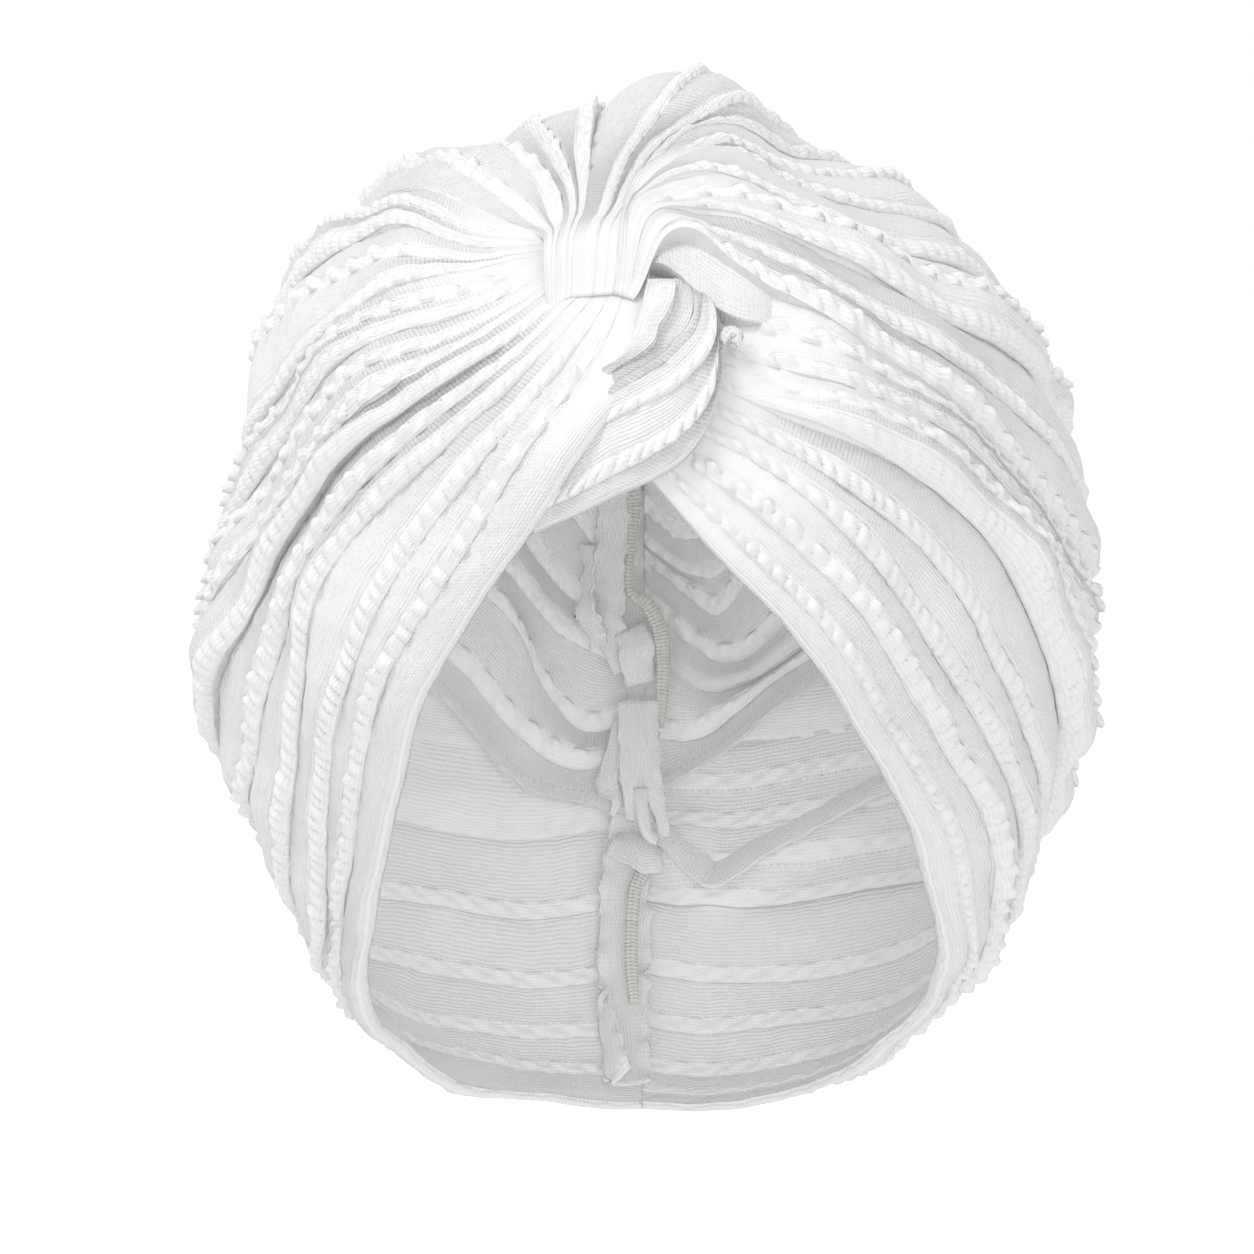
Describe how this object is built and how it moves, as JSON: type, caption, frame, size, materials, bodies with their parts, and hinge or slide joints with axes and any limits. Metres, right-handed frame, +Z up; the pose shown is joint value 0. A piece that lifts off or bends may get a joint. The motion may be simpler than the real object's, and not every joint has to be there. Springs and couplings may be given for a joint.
{
  "type": "turban hat",
  "caption": "White knitted turban hat with puckered stripes, a twisted front knot, an open face and a centre-back seam, held in the shape it has on a head.",
  "frame": {"origin": "where the top of the head touches the inside of the crown", "axes": "+Z up the head, -Y out of the face opening to the front, +X to the wearer's left"},
  "size_m": [0.2119, 0.2124, 0.2566],
  "materials": {
    "knit": "matte",
    "knit_inside": "matte",
    "seam_edge": "matte"
  },
  "bodies": {
    "root": {"left_panel": "knit", "right_panel": "knit", "crown_panel": "knit", "knot_loop": "knit", "inner_layer_left": "knit_inside", "inner_layer_right": "knit_inside", "seam_allowance": "seam_edge"}
  },
  "joints": []
}
